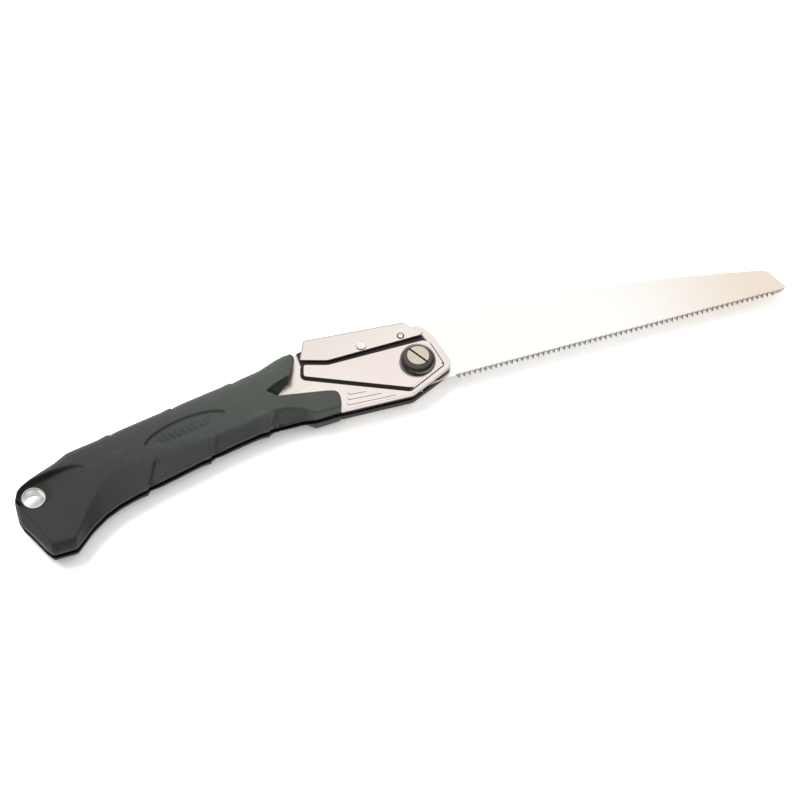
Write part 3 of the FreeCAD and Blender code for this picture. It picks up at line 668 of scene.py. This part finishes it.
def with_spine(plan, z):
    """Adds the rows that carry a sheet down to the parting plane, straight below its edge."""
    edge = 0 * z[:, :1]
    return (np.concatenate([plan[:, :1], plan[:, :1], plan], 1),
            np.concatenate([edge + 0.04, edge + 0.3, z], 1))


def with_lip(plan, z):
    """Adds the rows that carry a sheet down to the lip beside the slot."""
    edge = 0 * z[:, -1:]
    return (np.concatenate([plan, plan[:, -1:], plan[:, -1:]], 1),
            np.concatenate([z, edge + LIP_HEIGHT + 0.35, edge + LIP_HEIGHT], 1))


def with_inside(plan, z, drawn):
    """A sheet of rubber with its underside: drawn in from its edges, and held down to the core."""
    return plan, z, np.dstack([drawn, np.minimum(z - 0.02, CORE_TOP + 0.02)])


def grip_body():
    """From the crotch of the fork to the butt: lines from spine to belly at equal steps, the
    height from the half section and the relief."""
    columns = np.linspace(0, 1, BODY_COLUMNS)
    spine, belly = path(SPINE, columns, 0.006), path(BELLY, columns, 0.006)
    spine[0], belly[0] = SPINE[0], BELLY[0]
    for nick in SPINE_NICKS:
        step = np.interp(spine[:, 0] - nick, [-6.0, -0.6, 0.4, 5.0], [0.0, 0.75, -0.35, 0.0])
        spine[:, 1] += np.minimum(step, 0.4) - 0.25 * (np.abs(spine[:, 0] - nick) < 0.8)
    for _, (x, y) in GROOVES:
        step = np.interp(belly[:, 0] - x, [-5.0, -0.4, 0.5, 6.0], [0.0, -0.55, 0.35, 0.0])
        belly[:, 1] += step
    plan = spine[:, None] + share_across[None, :, None] * (belly - spine)[:, None]
    x, y = plan[..., 0], plan[..., 1]
    z = eased(half_section(share_across[None, :] + 0 * x, np.interp(x, CREASE_X, CREASE_SHARE)), 3)
    z = eased(relief(x, y, z), 1)
    end = np.interp(columns, [0, 0.965, 0.985, 1.0], [1.0, 1.0, 0.9, 0.62])[:, None]
    plan, z = with_lip(*with_spine(plan, z * end))
    width = np.linalg.norm(belly - spine, axis=1)[:, None]
    share = np.einsum("ijk,ik->ij", plan - spine[:, None], belly - spine) / width ** 2
    within = np.clip(share, WALL / width, 1 - WALL / width)
    return with_inside(plan, z, plan + (within - share)[..., None] * (belly - spine)[:, None])


def prong(outer_line, rim_line, foot_line, shares, tip_drop, upper):
    """One prong: lines from its outer edge to the rim of its inner wall, the height from the half
    section, then the sloping inner wall down to the head, and a blunt rounded tip."""
    along = np.concatenate([np.linspace(0, 1, PRONG_COLUMNS), [1.0, 1.0, 1.0]])
    push = np.concatenate([np.zeros(PRONG_COLUMNS), [0.25, 0.5, 0.55]])
    sink = np.concatenate([np.ones(PRONG_COLUMNS), [0.95, 0.75, 0.0]])
    outer, rim, foot = (path(line, along, 0.012) for line in (outer_line, rim_line, foot_line))
    outer[0], rim[0], foot[0] = outer_line[0], rim_line[0], foot_line[0]
    for line in (outer, rim, foot):
        line[:, 0] += push
    share = (shares - shares[0]) / (shares[-1] - shares[0])
    if upper:
        plan = outer[:, None] + share[None, :, None] * (rim - outer)[:, None]
    else:
        plan = rim[:, None] + share[None, :, None] * (outer - rim)[:, None]
        swell = np.interp(share, [0, 0.04, 0.1, 0.2, 0.4, 0.65, 1.0],
                          [-1.5, -0.5, 0.3, 0.9, 1.3, 0.9, 0.0])
        near_tip = smooth_step(along, 0.85, 1.0)
        rim[:, 0] += swell[0] * near_tip
        foot[:, 0] += swell[0] * near_tip
        plan[..., 0] += near_tip[:, None] * swell[None, :]
    x, y = plan[..., 0], plan[..., 1]
    crease = np.interp(x, CREASE_X, CREASE_SHARE)
    if not upper:
        arc = (rim[:, 1:2] - np.interp(x, ARC_X, ARC_Y)) / (rim[:, 1:2] - outer[:, 1:2])
        crease = np.where(along[:, None] > 0.02,
                          APEX_SHARE + (1 - APEX_SHARE) * np.clip(arc, 0.2, 0.97), 0.78)
    z = eased(half_section(shares[None, :] + 0 * x, crease), 3)
    if not upper:
        bay = smooth_step(x, -87.0, -83.5) * smooth_step(-x, 61.0, 64.5)
        z = z - 0.8 * bay * smooth_step(shares[None, :] - crease, -0.012, 0.035)
    z = eased(relief(x, y, z), 1) * (1 - tip_drop * along ** 2)[:, None]
    top = z[:, -1 if upper else 0]
    deep = np.minimum(CORE_TOP + 0.4, top)
    deep[0] = top[0] - 0.3
    down = np.linspace(0, 1, 7)[1:]
    wall_plan = rim[:, None] + down[None, :, None] * (foot - rim)[:, None]
    wall_z = top[:, None] + down[None, :] * (deep - top)[:, None]
    if upper:
        plan, z = np.concatenate([plan, wall_plan], 1), np.concatenate([z, wall_z], 1)
    else:
        plan = np.concatenate([wall_plan[:, ::-1], plan], 1)
        z = np.concatenate([wall_z[:, ::-1], z], 1)
    low = np.minimum(z, CORE_TOP + 0.4)
    plan, z = (with_spine if upper else with_lip)(plan, low + (z - low) * sink[:, None])
    toward_rim = (rim - outer) / np.linalg.norm(rim - outer, axis=1)[:, None]
    short = np.clip(WALL - np.linalg.norm(plan - outer[:, None], axis=2), 0, None)
    return with_inside(plan, z, plan + short[..., None] * toward_rim[:, None])


def eyelet_opening(plan, inner, quads):
    """Leaves out the quads whose middle lies inside the hole, and puts the points round the
    opening on the hole's circle."""
    away = plan - HOLE
    distance = np.linalg.norm(away, axis=2)
    corners = [np.s_[:-1, :-1], np.s_[1:, :-1], np.s_[1:, 1:], np.s_[:-1, 1:]]
    is_open = sum(distance[corner] for corner in corners) / 4 < HOLE_RADIUS
    beside_open, beside_kept = np.zeros((2,) + distance.shape, bool)
    for corner in corners:
        beside_open[corner] |= is_open
        beside_kept[corner] |= ~is_open
    circle = HOLE + away / distance[..., None] * HOLE_RADIUS
    rim = (beside_open & beside_kept)[..., None]
    inner = np.dstack([np.where(rim, circle, inner[..., :2]), inner[..., 2]])
    return np.where(rim, circle, plan), inner, quads[~is_open]


def grip_shell():
    """The body and two prongs as one sheet with a round opening for the eyelet, then thickened."""
    sheets = [grip_body(),
              prong(UPPER_SPINE, UPPER_RIM, UPPER_FOOT, share_across[:split_row + 1], 0.14, True),
              prong(LOWER_BELLY, LOWER_RIM, LOWER_FOOT, share_across[split_row:], 0.09, False)]
    outers, inners, faces, count = [], [], [], 0
    for number, (plan, z, inner) in enumerate(sheets):
        quads = grid_faces(*z.shape, count)
        if number == 0:
            plan, inner, quads = eyelet_opening(plan, inner, quads)
        else:
            quads = quads.reshape(-1, 4)[:, ::-1]
        outers.append(np.dstack([plan, z]).reshape(-1, 3))
        inners.append(inner.reshape(-1, 3))
        faces.append(quads)
        count += z.size
    return thickened(np.concatenate(outers), np.concatenate(inners), np.concatenate(faces))


rubber = Finish("moulded_elastomer", Specular_IOR_Level=0.36)
grip_x, _, grip_z = rubber.about_pivot()
above_slot = abs(grip_z)
mottle = rubber.noise(55.0, 4.0, 0.6)
fine = rubber.noise(1900.0, 2.0, 0.6)
dust = rubber.ramp(rubber.noise(420.0, 5.0, 0.7), 0.62, 0.74)
scuff_grain = rubber.noise(30.0, 6.0, 0.7, rubber.moved((1, 5, 1), (0, 0, 0.25)))
scuff = rubber.ramp(scuff_grain, 0.56, 0.72)
hole_x, hole_y, _ = rubber.axes(rubber.moved(place=in_frame([*HOLE, 0.0])))
from_hole = (hole_x * hole_x + hole_y * hole_y) ** 0.5 * 1000
# Painted shade: the pad round the lanyard hole, below the heel's step, is painted darker.
pad_shade = rubber.fall(from_hole, 9.0, 11.5) * rubber.fall(above_slot, 3.8, 4.6)
# Painted shade: the rubber near the slot is painted near black.
lip_shade = rubber.fall(above_slot, 2.5, 3.0)
# Painted light: the rubber is painted lighter toward the head and darker at the butt.
painted_light_toward_head = rubber.ramp(grip_x, -215, -60)
rubber_tone_and_shade = rubber.blend(painted_light_toward_head, (0.0135, 0.016, 0.015, 1), (0.044, 0.050, 0.044, 1))
rubber_tone_and_shade = rubber.blend(mottle * 0.3, rubber_tone_and_shade, (0.030, 0.032, 0.026, 1))
rubber_tone_and_shade = rubber.blend(pad_shade * 0.7, rubber_tone_and_shade, (0.008, 0.009, 0.0085, 1))
rubber_tone_and_shade = rubber.blend(lip_shade * 0.9, rubber_tone_and_shade, (0.003, 0.003, 0.003, 1))
rubber.feed("Base Color", rubber.blend(
    dust * 0.08 + scuff * 0.07, rubber_tone_and_shade, (0.16, 0.17, 0.155, 1)))
rubber.feed("Roughness", fine * 0.12 + mottle * 0.10 + 0.42 - scuff * 0.05)
rubber.bump(fine * 0.6 + mottle * 0.4, 0.00005, 0.35)

upper_grip = grip_shell()
for side, shell in (("upper", upper_grip), ("lower", underside(upper_grip))):
    piece("grip_half_" + side, *shell, rubber, "handle", "grip_rubber", ["grip_" + side],
          sharp=38.0)

# ---- lanyard eyelet ---------------------------------------------------------------------
# A rolled brass eyelet with nickel plating lines the hole; its two rims clench the grip halves.
EYELET_ROWS = [(5.4, 3.2), (5.48, 3.6), (5.7, 3.85), (6.0, 3.9), (6.3, 3.75), (6.5, 3.5),
               (6.5, 3.42), (6.3, 3.42)]     # radius and height, from the bore over the rim


def turned(profile, centre=(0.0, 0.0), around=64):
    """Surface of revolution: a profile of radius and height carried round a vertical line through
    the centre. A radius of nothing becomes one point."""
    profile = np.asarray(profile, float)
    angle = np.linspace(0, 2 * math.pi, around, endpoint=False)
    ring = np.stack([np.cos(angle), np.sin(angle)], 1)
    flat = centre + profile[:, None, :1] * ring[None]
    height = np.broadcast_to(profile[:, None, 1:], flat.shape[:2] + (1,))
    points = np.dstack([flat, height]).reshape(-1, 3)
    index = np.arange(len(points)).reshape(len(profile), around)
    pole = profile[:, 0] < 1e-9
    index[pole] = index[pole][:, :1]
    ahead = np.roll(index, -1, 1)
    faces = np.stack([index[:-1], ahead[:-1], ahead[1:], index[1:]], -1)
    return points, faces.reshape(-1, 4).tolist()


def used(points, faces):
    """Only the points that a face uses, with the faces renumbered."""
    flat = np.array([i for face in faces for i in face])
    kept, where = np.unique(flat, return_inverse=True)
    cuts = np.cumsum([len(face) for face in faces])[:-1]
    return points[kept], [part.tolist() for part in np.split(where.ravel(), cuts)]


def cloudy(name, cloud, dull, clear, rough, fine, depth, strength=0.3, **constants):
    """A finish whose colour and roughness both follow one cloudy grain, with a shallow relief
    from a finer grain, or from the same one where fine is None."""
    finish = Finish(name, **constants)
    cloud = finish.noise(*cloud)
    finish.feed("Base Color", finish.blend(cloud, (*dull, 1), (*clear, 1)))
    finish.feed("Roughness", cloud * rough[0] + rough[1])
    finish.bump(finish.noise(*fine) if fine else cloud, depth, strength)
    return finish


plated = cloudy("bright_plated_steel", (300.0, 3.0), (0.80, 0.79, 0.77), (0.90, 0.89, 0.87),
                (0.15, 0.16), (3000.0, 2.0), 0.00001, Metallic=1.0)
eyelet_rows = [(r, -z) for r, z in reversed(EYELET_ROWS)] + EYELET_ROWS
eyelet_rows.append(eyelet_rows[0])
piece("eyelet_ring", *turned(eyelet_rows[::-1], HOLE, 72), plated, "handle", "plated_steel",
      ["lanyard_eyelet"])

# ---- lock lever -------------------------------------------------------------------------
# Bright plated sheet folded to a channel: two flat cheeks joined by a web along the spine. The
# cheeks carry the rivet that it rocks on and the pin that drops into the blade's notch.
CHEEK = [(-61.3, 19.8), (-46.7, 15.1), (7.4, 16.2), (9.8, 17.9), (3.0, 24.7), (1.4, 27.2),
         (-55.6, 31.6)]
CHEEK_INNER, CHEEK_OUTER = 5.5, 6.6
WEB_ENDS = np.array(CHEEK[-1]) + (0.8, -0.08), np.array(CHEEK[-2]) + (-0.8, 0.05)
WEB_HALF = 6.57
WEB_DEPTH = 1.1
WEB_BEND = 0.45
WEB_STEPS = 12
RIVET_AT = (-26.3, 18.7)
PIN_AT = (-3.5, 18.7)
cheek_shape = stacked(rounded(CHEEK, 1.3, 6), edge_rows(CHEEK_INNER, CHEEK_OUTER, 0.12, 0.42))


def lever_web():
    """Closed strip: its section is a flat bar with rounded ends, carried along the spine line."""
    angle = np.linspace(0, math.pi / 2, 6)
    section = np.stack([WEB_BEND * (np.cos(angle) - 1) - 0.02,
                        WEB_HALF + WEB_BEND * (np.sin(angle) - 1)], 1)
    section = np.concatenate([section, [(-WEB_DEPTH, WEB_HALF)]])
    section = np.concatenate([section[::-1] * (1, -1), section])
    rear, front = WEB_ENDS
    along = rear + np.linspace(0, 1, WEB_STEPS)[:, None] * (front - rear)
    across = np.insert(section, 0, 0.0, axis=1)
    points = np.insert(along, 2, 0.0, axis=1)[:, None] + across
    index = np.arange(WEB_STEPS * len(section)).reshape(WEB_STEPS, -1)
    ahead = np.roll(index, -1, 1)
    faces = np.stack([index[:-1], index[1:], ahead[1:], ahead[:-1]], -1)
    ends = [index[0].tolist(), index[-1][::-1].tolist()]
    return points.reshape(-1, 3), faces.reshape(-1, 4).tolist() + ends


sheet_metal = Finish("plated_lever_sheet", Metallic=1.0)
lever_x, lever_y, _ = sheet_metal.about_pivot()
brushed = sheet_metal.noise(1.0, 4.0, 0.65, sheet_metal.moved(
    (90, 2600, 400), (0, 0, math.radians(4.4))))
sheet_cloud = sheet_metal.noise(40.0, 3.0)
# Painted shade: the sheet is painted darker toward its rear end.
rearward_shade = sheet_metal.fall(lever_x, -62, 10)
# Painted shade: the bend along the top and the cut rear edge are painted darker. Each mask is
# how far a point is past the line through one corner of the cheek, square to the line, in the
# two numbers of each slope.
top_x, top_y = CHEEK[-1]
top_edge_shade = sheet_metal.ramp((lever_x - top_x) * 0.077 + (lever_y - top_y), -0.95, -0.5)
rear_x, rear_y = CHEEK[0]
rear_edge_shade = sheet_metal.ramp((lever_y - rear_y) * 0.435 - (lever_x - rear_x) * 0.9, -0.8, -0.4)
sheet_tone_and_shade = sheet_metal.blend(sheet_cloud, (0.82, 0.755, 0.715, 1), (0.885, 0.83, 0.79, 1))
sheet_tone_and_shade = sheet_metal.blend(rearward_shade * 0.12, sheet_tone_and_shade, (0.60, 0.565, 0.55, 1))
sheet_metal.feed("Base Color", sheet_metal.blend(
    (top_edge_shade | rear_edge_shade) * 0.7, sheet_tone_and_shade, (0.16, 0.145, 0.14, 1)))
sheet_metal.feed("Roughness", brushed * 0.12 + sheet_cloud * 0.1 + 0.2)
sheet_metal.bump(brushed, 0.000006, 0.35)
lever = gathered(cheek_shape, underside(cheek_shape), lever_web())
piece("lever_channel", *lever, sheet_metal, "lever", "plated_sheet", ["lock_lever"], sharp=30.0)


def headed(rows, centre):
    """Straight pin with the same head at both ends: rows of radius and height from the shank up
    to the middle of one head, turned about the centre and repeated below."""
    return used(*turned([(r, -z) for r, z in reversed(rows)] + rows, centre, 48))


RIVET_ROWS = [(2.0, 6.1), (2.7, 6.62), (2.7, 7.18), (2.62, 7.3), (2.3, 7.44), (1.7, 7.54),
              (0.9, 7.6), (0.0, 7.62)]
rivet_steel = Finish("polished_rivet", Metallic=1.0)
rivet_cloud = rivet_steel.noise(500.0, 3.0)
# Painted shade: the wall under the rivet's dome is painted near black.
head_wall_shade = rivet_steel.fall(abs(rivet_steel.about_pivot()[2]), 7.05, 7.28)
rivet_tone = rivet_steel.blend(rivet_cloud, (0.86, 0.84, 0.82, 1), (0.95, 0.94, 0.92, 1))
rivet_steel.feed("Base Color", rivet_steel.blend(head_wall_shade, rivet_tone, (0.05, 0.045, 0.04, 1)))
rivet_steel.feed("Roughness", rivet_cloud * 0.12 + 0.14)
rivet_steel.bump(rivet_steel.noise(2600.0), 0.00001, 0.3)
piece("rocker_rivet", *headed(RIVET_ROWS, RIVET_AT), rivet_steel, "handle", "plated_steel",
      ["lever_rivet"])

PIN_ROWS = [(2.1, 6.0), (2.1, 6.64), (2.0, 6.72), (1.4, 6.84), (1.3, 6.9), (0.0, 6.9)]
pin_steel = Finish("turned_lock_pin", Metallic=1.0)
pin_x, pin_y, _ = pin_steel.axes(pin_steel.moved(place=in_frame([*PIN_AT, 0.0])))
# Painted shade: the pin's rim round its bright face is painted near black.
pin_rim_shade = pin_steel.ramp((pin_x * pin_x + pin_y * pin_y) ** 0.5 * 1000, 1.28, 1.42)
pin_cloud = pin_steel.noise(600.0, 3.0)
pin_face = pin_steel.blend(pin_cloud, (0.90, 0.88, 0.86, 1), (0.97, 0.96, 0.94, 1))
pin_steel.feed("Base Color", pin_steel.blend(pin_rim_shade, pin_face, (0.045, 0.04, 0.038, 1)))
pin_steel.feed("Roughness", pin_cloud * 0.12 + 0.16)
pin_steel.bump(pin_steel.noise(2600.0), 0.00001, 0.3)
piece("notch_pin", *headed(PIN_ROWS, PIN_AT), pin_steel, "lever", "plated_steel", ["lock_pin"])

# ---- pivot screw ------------------------------------------------------------------------
# A large black-oxide screw with a domed shoulder and a flat face turned bright, slotted for a
# coin. Its shank passes the bush and takes the nut on the far side.
HEAD_HEIGHT = 5.6
FACE_RADIUS = 6.0
CAP_RADIUS = 6.6
SLOT_WIDTH = 1.15
SLOT_DEPTH = 1.2
SLOT_TURN = math.radians(-59)
CAP_ROWS = [(0.0, HEAD_HEIGHT), (FACE_RADIUS - 0.15, HEAD_HEIGHT), (FACE_RADIUS, 5.54),
            (FACE_RADIUS + 0.25, 5.3), (CAP_RADIUS, 5.16)]   # radius and height above the panel
SHOULDER_ROWS = [(0.0, 0.0), (9.4, 0.0), (9.9, 0.35), (9.9, 0.9), (9.85, 1.5), (9.7, 2.2),
                 (9.4, 2.95), (8.9, 3.7), (8.2, 4.35), (7.4, 4.85), (6.9, 5.08),
                 (CAP_RADIUS, 5.16), (CAP_RADIUS, 4.2), (6.2, 4.2)]
SHANK_ROWS = [(0.0, -9.4), (3.6, -9.4), (4.0, -9.0), (4.0, PANEL_TOP + 0.2),
              (0.0, PANEL_TOP + 0.2)]


def screw_head():
    """Face of the head as strips across the slot: each strip is a chord of the face, and the two
    strips beside the slot are doubled, so that they make its walls and its floor."""
    lines = CAP_RADIUS * np.sin(np.linspace(0, math.pi / 2, 22)[1:])
    lines = np.concatenate([[SLOT_WIDTH / 2] * 2, lines[lines > SLOT_WIDTH / 2 + 0.02]])
    y = np.concatenate([-lines[::-1], lines])[:, None]
    middle = len(lines)
    reach = np.sqrt(np.maximum(CAP_RADIUS ** 2 - y ** 2, 0))
    x = reach * np.sin(np.linspace(-math.pi / 2, math.pi / 2, 57))[None, :]
    rows = np.array(CAP_ROWS)
    z = np.interp(np.hypot(x, y), rows[:, 0], rows[:, 1])
    z[middle - 1:middle + 1] = HEAD_HEIGHT - SLOT_DEPTH
    cos, sin = math.cos(SLOT_TURN), math.sin(SLOT_TURN)
    plan = np.stack([x, y + 0 * x], -1) @ [[cos, sin], [-sin, cos]]
    points = np.dstack([plan, PANEL_TOP + z]).reshape(-1, 3)
    return points, grid_faces(*z.shape).reshape(-1, 4)[:, ::-1].tolist()


def welded(points, faces):
    """Points in the same place become one, and faces that had an edge there lose it."""
    _, first, where = np.unique(np.round(points, 4), axis=0, return_index=True, return_inverse=True)
    where = where.ravel()
    faces = [list(dict.fromkeys(where[face].tolist())) for face in faces]
    return used(points[first], [face for face in faces if len(face) > 2])


shoulder = turned([(r, PANEL_TOP + z) for r, z in SHOULDER_ROWS], around=128)
shank = turned(SHANK_ROWS, around=48)
oxide = Finish("black_oxide_and_turned_face", Coat_Roughness=0.08)
px, py, pz = oxide.axes(oxide.moved(place=PIVOT))
from_centre = (px * px + py * py) ** 0.5
face_height = PANEL_TOP + HEAD_HEIGHT
on_face = oxide.fall(from_centre * 1000, FACE_RADIUS - 0.1, FACE_RADIUS + 0.05) * oxide.ramp(
    pz * 1000, face_height - 0.35, face_height - 0.2)
rings = oxide.put("ShaderNodeMath", {"operation": "SINE"}, {0: from_centre * 21000.0})
oxide_cloud = oxide.noise(400.0, 4.0, 0.6)
bare = oxide.blend(oxide_cloud, (0.60, 0.53, 0.45, 1), (0.74, 0.67, 0.58, 1))
black = oxide.blend(oxide_cloud, (0.020, 0.017, 0.014, 1), (0.055, 0.044, 0.035, 1))
oxide.feed("Base Color", oxide.blend(on_face, black, bare))
oxide.feed("Metallic", on_face * 0.6 + 0.4)
oxide.feed("Roughness", on_face * 0.12 + oxide_cloud * 0.12 + 0.16)
oxide.feed("Coat Weight", 0.7 - on_face * 0.7)
oxide.bump(rings * on_face + oxide_cloud, 0.000006, 0.5)
head = gathered(welded(*screw_head()), used(*shoulder), used(*shank))
piece("pivot_screw_head", *head, oxide, "handle", "black_steel", ["pivot_screw"], sharp=32.0)

# ---- nut, washers, bush, spring and joining hardware ------------------------------------
# The small parts keep their turned, coiled and punched shapes: bright zinc for the bought
# screws and pins, black for the nut, tempered wire for the spring, and nylon for the washers.
dark_nut = cloudy("phosphated_steel", (700.0, 4.0, 0.6), (0.05, 0.048, 0.045),
                  (0.12, 0.11, 0.10), (0.2, 0.28), None, 0.00002, 0.4, Metallic=0.8)
wire = cloudy("tempered_wire", (900.0, 3.0), (0.34, 0.31, 0.27), (0.52, 0.48, 0.43),
              (0.2, 0.22), None, 0.00001, Metallic=1.0)
nylon = cloudy("nylon_washer", (600.0, 3.0), (0.62, 0.58, 0.48), (0.74, 0.70, 0.60),
               (0.2, 0.35), (2500.0,), 0.00002, Specular_IOR_Level=0.4)
SMALL_PARTS = {
    "pivot_nut": dark_nut, "spring_washer": wire, "pivot_bush": plated,
    "blade_washer_upper": nylon, "blade_washer_lower": nylon, "lever_spring": wire,
    "spring_guide": plated, "frame_screws": plated, "frame_dowels": plated, "heel_rivet": plated}
for node, finish in SMALL_PARTS.items():
    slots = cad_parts[node].data.materials
    slots.clear()
    slots.append(finish.material)
